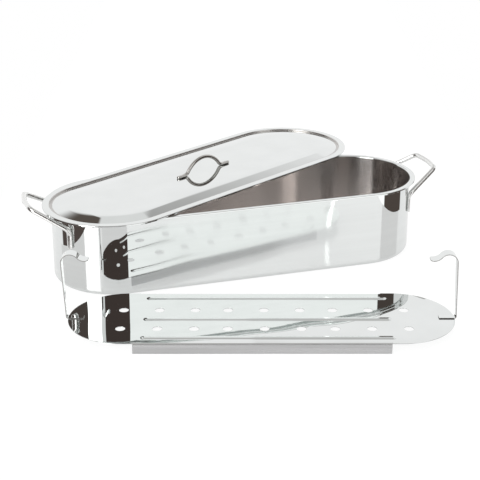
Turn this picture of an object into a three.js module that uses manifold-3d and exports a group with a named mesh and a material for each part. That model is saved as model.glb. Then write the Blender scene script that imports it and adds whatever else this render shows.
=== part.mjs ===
// Fish poacher in polished stainless steel: a long round-ended pot with two end handles, a lid that
// lies turned across it, and a perforated lift-out rack that stands in front of it.
// Millimetres, +Z up. The origin is the middle of the pot's underside, and X runs along the pot.
// Each sheet piece is drawn as the middle line of its section, which is then given its thickness.

import * as THREE from 'three';
import { mergeVertices } from 'three/addons/utils/BufferGeometryUtils.js';
import Module from 'manifold-3d';

const wasm = await Module();
wasm.setup();

// Pot
const POT_LENGTH = 600;
const POT_WIDTH = 198;
const POT_HEIGHT = 125;
const POT_SHEET = 1;
const POT_FOOT_RADIUS = 9;
const RIM_WIDTH = 8.4;
const RIM_BEND_RADIUS = 2;
const RIM_LIP_DEPTH = 2.6;
const RIM_LIP_RADIUS = 1;

// Pot handles, each a bent rod with two flattened feet
const HANDLE_ROD = 8;
const HANDLE_FOOT_ANGLE = 36;
const HANDLE_FOOT_BELOW_RIM = 54;
const HANDLE_BEND_BELOW_RIM = 21;
const HANDLE_FOOT_WIDTH = 10.5;
const HANDLE_FOOT_THICKNESS = 4;
const HANDLE_FOOT_FLAT = 24;
const HANDLE_FOOT_TAPER = 9;
const HANDLE_BEND_RADIUS = 9;
const HANDLE_REACH = 28.5;
const HANDLE_SPAN = 74;
const HANDLE_BOW = 4;
const HANDLE_ABOVE_RIM = 10;
const HANDLE_CORNER_RADIUS = 12;

// Lid
const LID_SHEET = 0.7;
const LID_CLEARANCE = 0.5;
const LID_LIP_DEPTH = 3;
const LID_LIP_RADIUS = 1;
const LID_SEAT_CLEARANCE = 0.8;
const LID_CHANNEL_WIDTH = 4.5;
const LID_CHANNEL_RADIUS = 0.9;
const LID_SLOPE_WIDTH = 26;
const LID_PANEL_RISE = 1.2;
const LID_SHOULDER_RADIUS = 110;

// Lid handle, a bent rod with two flattened feet
const GRIP_ROD = 6;
const GRIP_LENGTH = 119;
const GRIP_SPAN = 75;
const GRIP_HEIGHT = 27;
const GRIP_SLOPE = 54;
const GRIP_BEND_RADIUS = 8;
const GRIP_FOOT_WIDTH = 10;
const GRIP_FOOT_THICKNESS = 3.4;
const GRIP_FOOT_TAPER = 7;

// Rack plate, which fits in the pot with room for the fingers at its ends and sides
const RACK_END_CLEARANCE = 17.6;
const RACK_SIDE_CLEARANCE = 13.5;
const RACK_HEIGHT = 16;
const RACK_SHEET = 1;
const FLANGE_LENGTH = 364;
const FLANGE_BEND_RADIUS = 2;
const BEAD_LENGTH = 362;
const BEAD_WIDTH = 12;
const BEAD_HEIGHT = 1.2;
const BEAD_SPACING = 66;
const BEADS_OFF_MIDDLE = 9.1;
const HOLE_DIAMETER = 14;
const HOLE_ROW_OFFSET = 31;
const HOLE_PITCH = 52.8;
const HOLES_IN_GROUP = 3;
const HOLE_GROUP_GAP = 48.2;
const HOLE_GROUPS = 3;
const HOLES_OFF_MIDDLE = 4.1;
const ROWS_BEFORE_MIDDLE = 6;

// Rack hooks, each one bent strip whose leg leans towards the rack's left end
const HOOK_SHEET = 1.2;
const HOOK_FOOT_LENGTH = 23;
const HOOK_OVERHANG = 2;
const HOOK_FOOT_BEND = 2.5;
const HOOK_HEIGHT = 103;
const HOOK_LEAN = 3.5;
const HOOK_FOOT_WIDTH = 10;
const HOOK_GRIP_WIDTH = 18;
const HOOK_CREST_RADIUS = 13;
const HOOK_CREST_TURN = 140;
const HOOK_TAIL_RADIUS = 15;
const HOOK_TAIL_TURN = 60;
const HOOK_TAIL_END = 2;
const HOOK_TIP_RADIUS = 5;

// Where the lid and the rack lie
const SEAT_GAP = 0.3;
const LID_AT = [-32, 77.5];
const LID_TURN = 29;
const RACK_X = -40.5;
const RACK_TURN = -17;
const RACK_BEFORE_RIM = 15.9;

// Fineness of the round stretches
const END_STEPS = 16;
const BEND_STEP = 24;
const BAR_BEND_STEP = 18;
const BAR_SIDES = 10;
const BAR_END_STEPS = 3;
const BAR_END_BLUNT = 0.4;
const BEAD_SIDES = 12;
const HOLE_STEPS = 14;
const STRIP_BEND_STEP = 15;
const TIP_STEPS = 4;

const FINISHES = {
  mirror: { color: 0xd9dbdc, roughness: 0.08 },
  rod: { color: 0xd0d1d2, roughness: 0.15 },
  satin: { color: 0xc4c6c8, roughness: 0.2 },
};

const radians = THREE.MathUtils.degToRad;
const plan = (x, y) => new THREE.Vector2(x, y);
const space = (x, y, z) => new THREE.Vector3(x, y, z);

// Points along a line of corners [point, radius], with an arc of that radius in place of each corner.
function roundedLine(corners, step) {
  const points = [];
  corners.forEach(([corner, radius], i) => {
    if (!radius) {
      points.push(corner.clone());
      return;
    }
    const back = corners[i - 1][0].clone().sub(corner).normalize();
    const ahead = corners[i + 1][0].clone().sub(corner).normalize();
    const half = Math.acos(back.dot(ahead)) / 2;
    const middle = back.clone().add(ahead).normalize();
    const centre = corner.clone().addScaledVector(middle, radius / Math.sin(half));
    const from = corner.clone().addScaledVector(back, radius / Math.tan(half)).sub(centre);
    const to = corner.clone().addScaledVector(ahead, radius / Math.tan(half)).sub(centre);
    const turn = Math.PI - 2 * half;
    const steps = Math.max(1, Math.ceil(turn / radians(step)));
    for (let k = 0; k <= steps; k += 1) {
      const share = k / steps;
      const point = centre.clone();
      point.addScaledVector(from, Math.sin((1 - share) * turn) / Math.sin(turn));
      point.addScaledVector(to, Math.sin(share * turn) / Math.sin(turn));
      points.push(point);
    }
  });
  return points;
}

// The closed outline of a sheet whose section has this middle line: its right side, then its left.
function sheetOutline(line, thickness) {
  const sides = [1, -1].map((side) => line.map((point, i) => {
    const before = line[Math.max(i - 1, 0)];
    const after = line[Math.min(i + 1, line.length - 1)];
    const into = point.clone().sub(i ? before : after).multiplyScalar(i ? 1 : -1).normalize();
    const out = after.clone().sub(i < line.length - 1 ? point : before).normalize();
    const along = into.add(out);
    const mitre = 2 / along.length();
    along.normalize();
    const offset = (side * mitre * thickness) / 2;
    return plan(point.x + along.y * offset, point.y - along.x * offset);
  }));
  return [...sides[0], ...sides[1].reverse()];
}

// A closed three.js geometry as a solid that can be joined and cut.
function solidOf(geometry) {
  const bare = geometry.clone();
  bare.deleteAttribute('normal');
  bare.deleteAttribute('uv');
  const welded = mergeVertices(bare);
  const corners = welded.index.array;
  const kept = [];
  for (let i = 0; i < corners.length; i += 3) {
    const triangle = corners.slice(i, i + 3);
    if (new Set(triangle).size === 3) kept.push(...triangle);
  }
  return new wasm.Manifold(new wasm.Mesh({
    numProp: 3,
    vertProperties: welded.attributes.position.array,
    triVerts: Uint32Array.from(kept),
  }));
}

function meshOf(name, solid, finish) {
  const { vertProperties, triVerts } = solid.getMesh();
  const geometry = new THREE.BufferGeometry();
  geometry.setAttribute('position', new THREE.BufferAttribute(vertProperties, 3));
  geometry.setIndex(new THREE.BufferAttribute(triVerts, 1));
  geometry.computeVertexNormals();
  const material = new THREE.MeshStandardMaterial({ ...finish, metalness: 1 });
  const mesh = new THREE.Mesh(geometry, material);
  mesh.name = name;
  return mesh;
}

// A section [radius, height] carried round a long oval with straight sides and half-round ends.
function ovalSolid(section, halfStraight) {
  const columns = 2 * (END_STEPS + 1);
  const geometry = new THREE.LatheGeometry(section, columns);
  const position = geometry.attributes.position;
  for (let i = 0; i < position.count; i += 1) {
    const column = Math.floor(i / section.length) % columns;
    const end = column <= END_STEPS ? 1 : -1;
    const step = end > 0 ? column : column - 1;
    const angle = Math.PI * (step / END_STEPS - 0.5);
    const { x: radius, y: height } = section[i % section.length];
    position.setXYZ(i, end * halfStraight + radius * Math.cos(angle), radius * Math.sin(angle), height);
  }
  return solidOf(geometry);
}

// Half of a symmetrical bar as rings along its line, from the rounded end of its flattened foot to
// the plane that the whole bar is mirrored in.
function barRings(line, across, foot, rod, mirror) {
  const marks = [foot.flat, foot.flat + foot.taper / 2, foot.flat + foot.taper];
  for (let i = 1; i <= BAR_END_STEPS; i += 1) {
    marks.push((foot.width / 2) * (1 - Math.cos((Math.PI / 2) * (i / BAR_END_STEPS))));
  }
  marks.sort((a, b) => a - b);
  const rings = [];
  let start = 0;
  let sideways = across;
  for (let i = 0; i + 1 < line.length; i += 1) {
    const length = line[i].distanceTo(line[i + 1]);
    const inside = marks.filter((mark) => mark > start && mark < start + length);
    for (const mark of [start, ...inside]) {
      rings.push({ centre: line[i].clone().lerp(line[i + 1], (mark - start) / length), mark });
    }
    start += length;
  }
  rings.push({ centre: line[line.length - 1].clone(), mark: start });
  rings.forEach((ring, i) => {
    const before = rings[Math.max(i - 1, 0)].centre;
    const after = i + 1 < rings.length ? rings[i + 1].centre : before.clone().multiply(mirror);
    const ahead = after.clone().sub(before).normalize();
    sideways = sideways.clone().addScaledVector(ahead, -ahead.dot(sideways)).normalize();
    const round = THREE.MathUtils.smoothstep(ring.mark, foot.flat, foot.flat + foot.taper);
    const short = Math.max(0, 1 - (2 * ring.mark) / foot.width);
    const end = Math.max(Math.sqrt(1 - short * short), BAR_END_BLUNT);
    const width = THREE.MathUtils.lerp(foot.width, rod, round) * end;
    const thickness = THREE.MathUtils.lerp(foot.thickness, rod, round);
    ring.across = sideways.clone().multiplyScalar(width / 2);
    ring.through = ahead.clone().cross(sideways).multiplyScalar(thickness / 2);
  });
  return rings;
}

// The whole bar: its half and the mirrored half, as a cylinder whose rings are moved onto them.
function barSolid(line, across, foot, rod, mirror) {
  const half = barRings(line, across, foot, rod, mirror);
  const flip = ({ centre, across, through }) => ({
    centre: centre.clone().multiply(mirror),
    across: across.clone().multiply(mirror),
    through: through.clone().multiply(mirror),
  });
  const rings = [...half, ...half.slice(0, -1).reverse().map(flip)];
  const geometry = new THREE.CylinderGeometry(1, 1, 1, BAR_SIDES, rings.length - 1);
  const position = geometry.attributes.position;
  for (let i = 0; i < position.count; i += 1) {
    const { centre, across, through } = rings[Math.round((0.5 - position.getY(i)) * (rings.length - 1))];
    const point = centre.clone();
    point.addScaledVector(across, position.getX(i)).addScaledVector(through, position.getZ(i));
    position.setXYZ(i, point.x, point.y, point.z);
  }
  return solidOf(geometry);
}

// An upright box between its lowest and its highest corner.
function box(low, high) {
  const size = high.clone().sub(low);
  const geometry = new THREE.BoxGeometry(size.x, size.y, size.z);
  geometry.translate(...low.clone().addScaledVector(size, 0.5));
  return solidOf(geometry);
}

// Pot shell: flat bottom, rounded foot, upright wall and a flat rim with a turned-down lip.
const potRadius = POT_WIDTH / 2;
const potStraight = POT_LENGTH / 2 - potRadius;
const rimRadius = potRadius + RIM_WIDTH;

function potShell() {
  const half = POT_SHEET / 2;
  const wall = potRadius - half;
  const edge = rimRadius - half;
  const line = roundedLine([
    [plan(0, half), 0],
    [plan(wall, half), POT_FOOT_RADIUS - half],
    [plan(wall, POT_HEIGHT - half), RIM_BEND_RADIUS],
    [plan(edge, POT_HEIGHT - half), RIM_LIP_RADIUS],
    [plan(edge, POT_HEIGHT - RIM_LIP_DEPTH), 0],
  ], BEND_STEP);
  return ovalSolid(sheetOutline(line, POT_SHEET), potStraight);
}

// Pot handle at one end (1 or -1): feet flat on the round end wall, arms out past the rim to a bar.
function potHandle(end) {
  const angle = radians(HANDLE_FOOT_ANGLE);
  const outward = space(end * Math.cos(angle), Math.sin(angle), 0);
  const onWall = (rise, thickness) => outward.clone()
    .multiplyScalar(potRadius + SEAT_GAP + thickness / 2)
    .add(space(end * potStraight, 0, rise));
  const reach = potStraight + rimRadius + HANDLE_REACH;
  const footBottom = POT_HEIGHT - HANDLE_FOOT_BELOW_RIM;
  const barHeight = POT_HEIGHT + HANDLE_ABOVE_RIM;
  const line = roundedLine([
    [onWall(footBottom, HANDLE_FOOT_THICKNESS), 0],
    [onWall(footBottom + HANDLE_FOOT_FLAT, HANDLE_FOOT_THICKNESS), 0],
    [onWall(POT_HEIGHT - HANDLE_BEND_BELOW_RIM, HANDLE_ROD), HANDLE_BEND_RADIUS],
    [space(end * reach, HANDLE_SPAN / 2, barHeight), HANDLE_CORNER_RADIUS],
    [space(end * (reach + HANDLE_BOW), 0, barHeight), 0],
  ], BAR_BEND_STEP);
  const foot = {
    width: HANDLE_FOOT_WIDTH,
    thickness: HANDLE_FOOT_THICKNESS,
    flat: HANDLE_FOOT_FLAT,
    taper: HANDLE_FOOT_TAPER,
  };
  const across = space(-outward.y, outward.x, 0);
  return barSolid(line, across, foot, HANDLE_ROD, space(1, -1, 1));
}

// Lid shell, drawn from its lowest face: lip, flat flange, seating channel, slope and flat panel.
const lidInside = rimRadius + LID_CLEARANCE;
const lidFlangeTop = LID_LIP_DEPTH;
const lidPanelTop = lidFlangeTop + LID_PANEL_RISE;

function lidShell() {
  const half = LID_SHEET / 2;
  const edge = lidInside + half;
  const step = potRadius - POT_SHEET - LID_SEAT_CLEARANCE - half;
  const slopeFoot = step - LID_CHANNEL_WIDTH;
  const line = roundedLine([
    [plan(0, lidPanelTop - half), 0],
    [plan(slopeFoot - LID_SLOPE_WIDTH, lidPanelTop - half), LID_SHOULDER_RADIUS],
    [plan(slopeFoot, half), LID_CHANNEL_RADIUS],
    [plan(step, half), LID_CHANNEL_RADIUS],
    [plan(step, lidFlangeTop - half), LID_CHANNEL_RADIUS],
    [plan(edge, lidFlangeTop - half), LID_LIP_RADIUS],
    [plan(edge, 0), 0],
  ], BEND_STEP);
  return ovalSolid(sheetOutline(line, LID_SHEET), potStraight);
}

// Lid handle: an arch along the lid with its feet flat on the panel. Its half is drawn, whose upper
// bend is wide enough to end at the middle of the arch, where the line's last corner adds nothing.
function lidHandle() {
  const footLength = (GRIP_LENGTH - GRIP_SPAN) / 2;
  const footHeight = lidPanelTop + SEAT_GAP + GRIP_FOOT_THICKNESS / 2;
  const bendHeight = lidPanelTop + SEAT_GAP + GRIP_ROD / 2;
  const crown = lidPanelTop + GRIP_HEIGHT - GRIP_ROD / 2;
  const slope = radians(GRIP_SLOPE);
  const shoulder = GRIP_SPAN / 2 - (crown - bendHeight) / Math.tan(slope);
  const line = roundedLine([
    [space(-GRIP_LENGTH / 2, 0, footHeight), 0],
    [space(-GRIP_SPAN / 2 - GRIP_FOOT_TAPER, 0, footHeight), 0],
    [space(-GRIP_SPAN / 2, 0, bendHeight), GRIP_BEND_RADIUS],
    [space(-shoulder, 0, crown), shoulder / Math.tan(slope / 2)],
    [space(0, 0, crown), 0],
  ], BAR_BEND_STEP);
  line.pop();
  const foot = {
    width: GRIP_FOOT_WIDTH,
    thickness: GRIP_FOOT_THICKNESS,
    flat: footLength - GRIP_FOOT_TAPER,
    taper: GRIP_FOOT_TAPER,
  };
  return barSolid(line, space(0, 1, 0), foot, GRIP_ROD, space(-1, 1, 1));
}

// Rack plate: a flat sheet with pressed beads, rows of holes and a flange folded down on each side.
// The rows and the bead between them lie a little before the plate's middle.
const rackRadius = potRadius - POT_SHEET - RACK_SIDE_CLEARANCE;
const rackHalfLength = POT_LENGTH / 2 - POT_SHEET - RACK_END_CLEARANCE;
const rackStraight = rackHalfLength - rackRadius;
const foldStart = rackRadius - FLANGE_BEND_RADIUS - RACK_SHEET;

function rackOutline() {
  const shape = new THREE.Shape();
  shape.absarc(rackStraight, 0, rackRadius, -Math.PI / 2, Math.PI / 2);
  shape.absarc(-rackStraight, 0, rackRadius, Math.PI / 2, Math.PI * 1.5);
  return shape;
}

function holePlaces() {
  const groupPitch = (HOLES_IN_GROUP - 1) * HOLE_PITCH + HOLE_GROUP_GAP;
  const places = [];
  for (let group = 0; group < HOLE_GROUPS; group += 1) {
    const groupX = (group - (HOLE_GROUPS - 1) / 2) * groupPitch;
    for (let hole = 0; hole < HOLES_IN_GROUP; hole += 1) {
      const x = HOLES_OFF_MIDDLE + groupX + (hole - (HOLES_IN_GROUP - 1) / 2) * HOLE_PITCH;
      places.push([x, HOLE_ROW_OFFSET - ROWS_BEFORE_MIDDLE], [x, -HOLE_ROW_OFFSET - ROWS_BEFORE_MIDDLE]);
    }
  }
  return places;
}

// One pressed bead, inset from its outer face by the sheet when it is the hollow underneath.
function bead(y, inset) {
  const radius = BEAD_WIDTH / 2 - inset;
  const length = BEAD_LENGTH - BEAD_WIDTH;
  const rise = BEAD_HEIGHT + RACK_SHEET - inset;
  const geometry = new THREE.CapsuleGeometry(radius, length, BEAD_SIDES / 4, BEAD_SIDES);
  geometry.rotateZ(Math.PI / 2);
  geometry.scale(1, 1, rise / radius);
  geometry.translate(BEADS_OFF_MIDDLE, y, RACK_HEIGHT - RACK_SHEET);
  return solidOf(geometry);
}

function rackFlange() {
  const half = RACK_SHEET / 2;
  const top = RACK_HEIGHT - half;
  const line = roundedLine([
    [plan(foldStart, top), 0],
    [plan(rackRadius - half, top), FLANGE_BEND_RADIUS],
    [plan(rackRadius - half, 0), 0],
  ], BEND_STEP);
  const geometry = new THREE.ExtrudeGeometry(new THREE.Shape(sheetOutline(line, RACK_SHEET)), {
    depth: FLANGE_LENGTH,
    bevelEnabled: false,
  });
  geometry.rotateX(Math.PI / 2);
  geometry.rotateZ(Math.PI / 2);
  geometry.translate(-FLANGE_LENGTH / 2, 0, 0);
  return solidOf(geometry);
}

function rackPlate() {
  const shape = rackOutline();
  for (const [x, y] of holePlaces()) {
    const hole = new THREE.Path();
    hole.absarc(x, y, HOLE_DIAMETER / 2, 0, Math.PI * 2);
    shape.holes.push(new THREE.Path(hole.getSpacedPoints(HOLE_STEPS)));
  }
  const sheet = new THREE.ExtrudeGeometry(shape, {
    depth: RACK_SHEET,
    bevelEnabled: false,
    curveSegments: END_STEPS,
  });
  sheet.translate(0, 0, RACK_HEIGHT - RACK_SHEET);
  let solid = solidOf(sheet);
  const beadRoom = box(
    space(-BEAD_LENGTH, -rackRadius, RACK_HEIGHT - RACK_SHEET),
    space(BEAD_LENGTH, rackRadius, RACK_HEIGHT + BEAD_HEIGHT),
  );
  for (const y of [-BEAD_SPACING, -ROWS_BEFORE_MIDDLE, BEAD_SPACING]) {
    solid = solid.add(bead(y, 0).intersect(beadRoom)).subtract(bead(y, RACK_SHEET));
  }
  const foldRoom = box(
    space(-FLANGE_LENGTH / 2, foldStart, 0),
    space(FLANGE_LENGTH / 2, rackRadius + RACK_SHEET, RACK_HEIGHT + RACK_SHEET),
  );
  const flange = rackFlange();
  for (const turn of [0, 180]) {
    solid = solid.subtract(foldRoom.rotate([0, 0, turn])).add(flange.rotate([0, 0, turn]));
  }
  return solid;
}

// Room for a hook seen from above, with round corners at its tip.
function hookPlan(tip, back) {
  const side = HOOK_GRIP_WIDTH / 2;
  const roundX = tip + HOOK_TIP_RADIUS;
  const roundY = side - HOOK_TIP_RADIUS;
  const shape = new THREE.Shape();
  shape.moveTo(back, -side);
  shape.lineTo(back, side);
  shape.absarc(roundX, roundY, HOOK_TIP_RADIUS, Math.PI / 2, Math.PI);
  shape.absarc(roundX, -roundY, HOOK_TIP_RADIUS, Math.PI, Math.PI * 1.5);
  return solidOf(new THREE.ExtrudeGeometry(shape, {
    depth: RACK_HEIGHT + HOOK_HEIGHT + HOOK_SHEET,
    bevelEnabled: false,
    curveSegments: TIP_STEPS,
  }));
}

// Rack hook at one end (1 or -1): foot on the plate, upright leg and a crest that turns inwards.
function rackHook(end) {
  const half = HOOK_SHEET / 2;
  const footLine = RACK_HEIGHT + SEAT_GAP + half;
  const legLine = rackHalfLength + HOOK_OVERHANG;
  const crestBottom = RACK_HEIGHT + HOOK_HEIGHT - half - HOOK_CREST_RADIUS;
  const legTop = plan(legLine - end * HOOK_LEAN, crestBottom);
  const crestCentre = plan(legTop.x - HOOK_CREST_RADIUS, crestBottom);
  const line = roundedLine([
    [plan(rackHalfLength - HOOK_FOOT_LENGTH, footLine), 0],
    [plan(legLine, footLine), HOOK_FOOT_BEND],
    [legTop, 0],
  ], STRIP_BEND_STEP);
  const crestTurn = radians(HOOK_CREST_TURN);
  const crestSteps = Math.ceil(HOOK_CREST_TURN / STRIP_BEND_STEP);
  for (let i = 1; i <= crestSteps; i += 1) {
    const angle = (crestTurn * i) / crestSteps;
    line.push(plan(Math.cos(angle), Math.sin(angle)).multiplyScalar(HOOK_CREST_RADIUS).add(crestCentre));
  }
  const tailCentre = plan(Math.cos(crestTurn), Math.sin(crestTurn))
    .multiplyScalar(HOOK_CREST_RADIUS + HOOK_TAIL_RADIUS).add(crestCentre);
  const tailSteps = Math.ceil(HOOK_TAIL_TURN / STRIP_BEND_STEP);
  for (let i = 1; i <= tailSteps; i += 1) {
    const angle = crestTurn + Math.PI - (radians(HOOK_TAIL_TURN) * i) / tailSteps;
    line.push(plan(Math.cos(angle), Math.sin(angle)).multiplyScalar(HOOK_TAIL_RADIUS).add(tailCentre));
  }
  const last = line[line.length - 1];
  const before = line[line.length - 2];
  line.push(last.clone().addScaledVector(last.clone().sub(before).normalize(), HOOK_TAIL_END));
  const strip = new THREE.ExtrudeGeometry(new THREE.Shape(sheetOutline(line, HOOK_SHEET)), {
    depth: HOOK_GRIP_WIDTH,
    bevelEnabled: false,
  });
  strip.translate(0, 0, -HOOK_GRIP_WIDTH / 2);
  strip.rotateX(Math.PI / 2);
  const position = strip.attributes.position;
  for (let i = 0; i < position.count; i += 1) {
    const rise = THREE.MathUtils.smoothstep(position.getZ(i), RACK_HEIGHT, crestBottom);
    const share = THREE.MathUtils.lerp(HOOK_FOOT_WIDTH / HOOK_GRIP_WIDTH, 1, rise);
    position.setY(i, position.getY(i) * share);
  }
  const tip = line[line.length - 1].x;
  const back = Math.max(legLine, legTop.x) + HOOK_SHEET;
  const solid = solidOf(strip).intersect(hookPlan(tip, back));
  return end < 0 ? solid.rotate([0, 0, 180]) : solid;
}

const pot = new THREE.Group();
pot.add(
  meshOf('pot_shell', potShell(), FINISHES.mirror),
  meshOf('pot_handle_left', potHandle(-1), FINISHES.rod),
  meshOf('pot_handle_right', potHandle(1), FINISHES.rod),
);

const lid = new THREE.Group();
lid.position.set(LID_AT[0], LID_AT[1], POT_HEIGHT + SEAT_GAP);
lid.rotation.z = radians(LID_TURN);
lid.add(
  meshOf('lid_shell', lidShell(), FINISHES.mirror),
  meshOf('lid_handle', lidHandle(), FINISHES.rod),
);

// The rack's left end is the one nearer to the pot.
const rack = new THREE.Group();
const rackEndAhead = rackStraight * Math.sin(radians(-RACK_TURN));
rack.position.set(RACK_X, -(rimRadius + RACK_BEFORE_RIM + rackRadius + rackEndAhead), 0);
rack.rotation.z = radians(RACK_TURN);
rack.add(
  meshOf('rack_plate', rackPlate(), FINISHES.satin),
  meshOf('rack_hook_left', rackHook(-1), FINISHES.mirror),
  meshOf('rack_hook_right', rackHook(1), FINISHES.mirror),
);

const group = new THREE.Group();
group.add(pot, lid, rack);

export default group;
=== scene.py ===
"""Fish poacher in mirror-polished stainless steel: a long round-ended pot, the lid that lies turned
across it, and the perforated lift-out rack in front. Each piece stands for one part of the model."""

import math
from typing import NamedTuple

import bmesh
import bpy
from bpy.props import FloatProperty, FloatVectorProperty, IntProperty, PointerProperty
from bpy.types import NodeSocket, Operator, Panel, PropertyGroup
from mathutils import Matrix, Vector


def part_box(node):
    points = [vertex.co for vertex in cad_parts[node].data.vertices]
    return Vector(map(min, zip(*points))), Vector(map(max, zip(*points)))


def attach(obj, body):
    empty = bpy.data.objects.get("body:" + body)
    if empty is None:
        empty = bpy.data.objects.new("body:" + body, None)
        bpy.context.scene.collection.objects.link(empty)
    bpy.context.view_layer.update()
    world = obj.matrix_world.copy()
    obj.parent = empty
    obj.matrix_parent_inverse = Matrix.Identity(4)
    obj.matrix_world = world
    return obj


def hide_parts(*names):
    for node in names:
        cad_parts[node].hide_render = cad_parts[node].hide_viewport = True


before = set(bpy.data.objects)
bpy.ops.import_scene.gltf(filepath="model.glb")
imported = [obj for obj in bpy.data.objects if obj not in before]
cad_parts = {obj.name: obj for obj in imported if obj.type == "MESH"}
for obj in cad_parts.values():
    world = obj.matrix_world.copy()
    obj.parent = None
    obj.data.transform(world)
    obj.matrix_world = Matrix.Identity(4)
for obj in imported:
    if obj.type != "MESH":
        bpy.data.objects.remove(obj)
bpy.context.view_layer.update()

bl_info = {
    "name": "Fish Poacher",
    "version": (1, 0, 0),
    "blender": (4, 5, 0),
    "location": "View3D > Sidebar > Fish Poacher",
    "description": "Builds a stainless steel fish poacher with its lid and lift-out rack",
    "category": "Object",
}

# The white table's edges, left, right, front and back of the pot's middle as the camera sees them
TABLE = (-0.44, 0.485, -1.6, 2.6)

WHITE = (1, 1, 1, 1)
GLOSSY_BOUNCES = 8
SENSOR_WIDTH = 36
# The nearest and the farthest that the camera sees
CAMERA_RANGE = (0.05, 20)

# Length over which the unevenness of a flat wall fades before its round ends
FLAT_FADE = 0.08
# The range that most of a noise lies in
NOISE_RANGE = (0.35, 0.65)
# How far the roughness varies with the marks in a finish, as a share of it
GLOSS_VARIATION = 0.15
# How strongly the finish of the pot's walls varies, where the other finishes have 1
POT_GRAIN = 0.3
# A quarter turn, which draws reflections out across the level brush marks
BRUSH_TURN = 0.25
# What gives the brush marks a direction where the sheet lies flat
LEVEL_NUDGE = (0.001, 0, 0)

# Places taken from the model
POT_LOW, POT_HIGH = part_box("pot_shell")
RIM_RADIUS = (POT_HIGH.y - POT_LOW.y) / 2
POT_STRAIGHT = POT_HIGH.x - RIM_RADIUS
POT_HEIGHT = POT_HIGH.z
LID_LOW, LID_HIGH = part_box("lid_shell")
RACK_LOW, RACK_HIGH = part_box("rack_plate")

# Fineness of the round stretches
END_STEPS = 72
BEND_SEGMENTS = 8
ROD_SIDES = 28
ROD_BEND_STEP = math.radians(6)
FOOT_END_STEPS = 6
FOOT_TAPER_STEPS = 6
HOLE_SIDES = 40
BEAD_END_STEPS = 24
STRIP_BEND_STEP = math.radians(6)
LEG_STEPS = 12
TIP_STEPS = 6
EDGE_SEGMENTS = 3
MERGE = 1e-6

# Edges that turn by more than this are rounded
EDGE_ANGLE = math.radians(50)
# Narrowest part of a foot's round end, as a share of the foot's width
FOOT_END = 0.25
# Where the flank of a pressed bead starts and ends, as shares of half its width
BEAD_CROWN, BEAD_FOOT = 0.25, 0.75


# Settings


def number(name, description, default, **kind):
    return FloatProperty(name=name, description=description, default=default, **kind)


def length(name, description, metres):
    return number(name, description, metres, unit="LENGTH", precision=5)


def angle(name, description, degrees):
    return number(name, description, math.radians(degrees), subtype="ANGLE")


def share(name, description, default):
    return number(name, description, default, min=0, max=1, subtype="FACTOR")


def colour(name, description, default):
    return FloatVectorProperty(
        name=name, description=description, default=default, size=3, min=0, max=1, subtype="COLOR"
    )


class PotSizes(PropertyGroup):
    """Sizes of the pot shell."""

    sheet: length("Sheet", "Thickness of the pot's sheet", 0.001)
    foot_radius: length("Foot radius", "Outer radius between the bottom and the wall", 0.009)
    rim_width: length("Rim width", "How far the flat rim stands out from the wall", 0.0084)
    rim_bend: length("Rim bend", "Bend radius between the wall and the rim", 0.002)
    lip_depth: length("Lip depth", "How far the rim's edge is turned down", 0.0026)
    lip_bend: length("Lip bend", "Bend radius of the turned-down edge", 0.001)
    edge: length("Edge", "Rounding of the cut edge", 0.0002)


class HandleSizes(PropertyGroup):
    """Sizes of the two pot handles."""

    rod: length("Rod", "Diameter of the rod", 0.008)
    foot_angle: angle("Foot angle", "Where the feet sit round the end wall", 36)
    foot_below_rim: length("Foot below rim", "From the rim down to the lower end of a foot", 0.054)
    bend_below_rim: length("Bend below rim", "From the rim down to the bend above a foot", 0.021)
    foot_width: length("Foot width", "Width of the flattened foot", 0.0105)
    foot_thickness: length("Foot thickness", "Thickness of the flattened foot", 0.004)
    foot_flat: length("Foot flat", "Length of the flattened foot", 0.024)
    foot_taper: length("Foot taper", "Length over which the foot becomes round", 0.009)
    bend: length("Bend", "Bend radius above a foot", 0.009)
    reach: length("Reach", "How far the bar stands out past the rim", 0.0285)
    span: length("Span", "Width of the bar between its corners", 0.074)
    bow: length("Bow", "How far the bar bows out in its middle", 0.004)
    above_rim: length("Above rim", "Height of the bar over the rim", 0.01)
    corner: length("Corner", "Bend radius at the bar's corners", 0.012)
    edge: length("Edge", "Rounding of the feet's edges", 0.0004)


class LidSizes(PropertyGroup):
    """Sizes and place of the lid shell."""

    sheet: length("Sheet", "Thickness of the lid's sheet", 0.0007)
    clearance: length("Clearance", "Room between the rim's edge and the lid's lip", 0.0005)
    lip_depth: length("Lip depth", "Depth of the lip round the lid", 0.003)
    lip_bend: length("Lip bend", "Bend radius of the lip", 0.001)
    seat_clearance: length("Seat clearance", "Room between the lid's step and the pot's wall", 0.0008)
    channel_width: length("Channel width", "Width of the seating channel's floor", 0.0045)
    channel_bend: length("Channel bend", "Bend radius of the channel", 0.0009)
    slope_width: length("Slope width", "Width of the slope up to the panel", 0.026)
    panel_rise: length("Panel rise", "Height of the panel over the flange", 0.0012)
    shoulder: length("Shoulder", "Bend radius between the slope and the panel", 0.11)
    edge: length("Edge", "Rounding of the cut edge", 0.00015)
    turn: angle("Turn", "How far the lid lies turned from the pot", 29)


class GripSizes(PropertyGroup):
    """Sizes of the lid's handle."""

    rod: length("Rod", "Diameter of the rod", 0.006)
    over_feet: length("Over feet", "Length over both feet", 0.119)
    span: length("Span", "Width of the arch", 0.075)
    height: length("Height", "Height of the arch over the panel", 0.027)
    slope: angle("Slope", "Slope of the arch above its feet", 54)
    bend: length("Bend", "Bend radius above a foot", 0.008)
    foot_width: length("Foot width", "Width of the flattened foot", 0.01)
    foot_thickness: length("Foot thickness", "Thickness of the flattened foot", 0.0034)
    foot_taper: length("Foot taper", "Length over which the foot becomes round", 0.007)
    edge: length("Edge", "Rounding of the feet's edges", 0.0003)


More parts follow.
